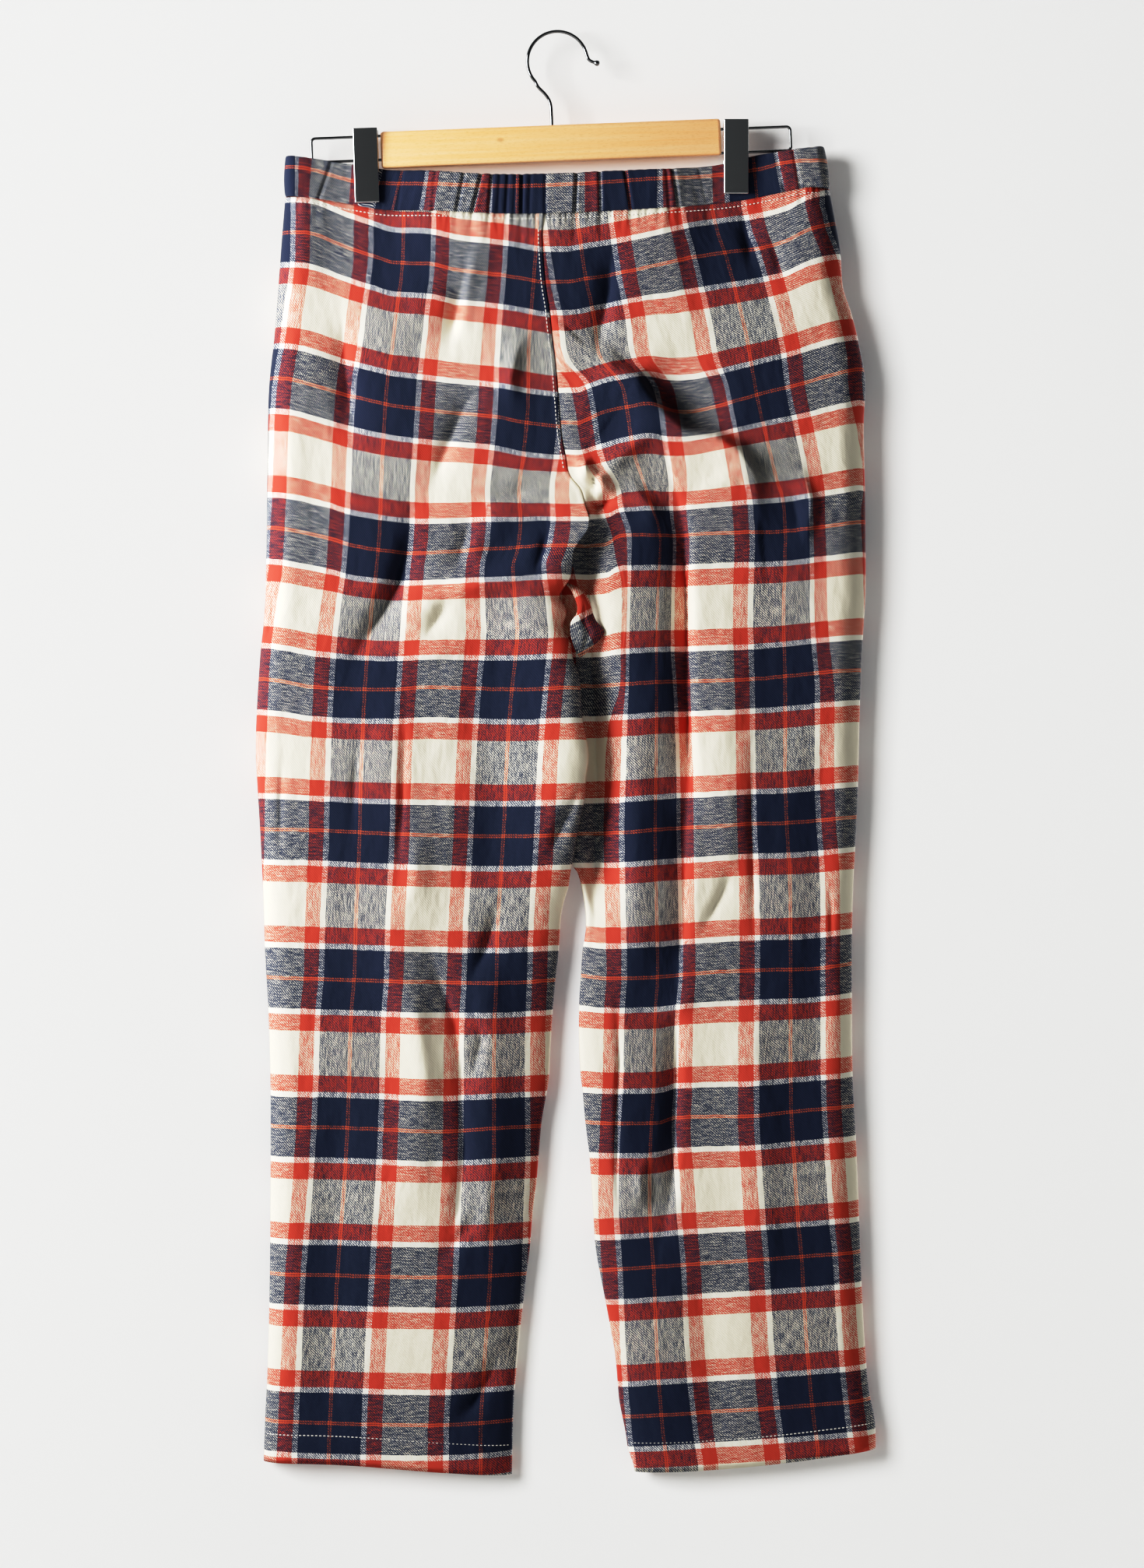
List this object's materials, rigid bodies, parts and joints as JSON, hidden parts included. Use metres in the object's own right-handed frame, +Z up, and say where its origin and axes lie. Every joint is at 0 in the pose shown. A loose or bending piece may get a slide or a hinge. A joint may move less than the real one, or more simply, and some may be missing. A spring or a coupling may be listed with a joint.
{
  "type": "pyjama trousers on a clip hanger",
  "caption": "Straight-legged flannel pyjama trousers with a gathered elastic waistband, clipped to a wooden bar hanger with a round wire hook, hanging flat with open waist and hems.",
  "frame": {"origin": "the inside top of the hanger's hook, where the rail that carries it touches", "axes": "+Z up along the legs towards the hook, +X towards the trousers' right leg, -Y towards a person who looks at the trousers' back"},
  "size_m": [0.4783, 0.0406, 1.1141],
  "materials": {
    "flannel": "brushed cotton twill in a plaid of navy, red, white and cream, matt with a soft nap",
    "waistband": "the same plaid flannel gathered over elastic, matt",
    "wood": "pale beech, clear satin lacquer",
    "wire": "drawn steel wire, bright plated",
    "clip": "pressed steel sheet, mirror plated"
  },
  "bodies": {
    "root": {"back_left_leg": "flannel", "back_right_leg": "flannel", "front_left_leg": "flannel", "front_right_leg": "flannel", "waistband": "waistband", "hanger_bar": "wood", "hanger_hook": "wire", "wire_loop_left": "wire", "wire_loop_right": "wire", "clip_left_block": "clip", "clip_left_near_leaf": "clip", "clip_left_far_leaf": "clip", "clip_right_block": "clip", "clip_right_near_leaf": "clip", "clip_right_far_leaf": "clip"}
  },
  "joints": []
}
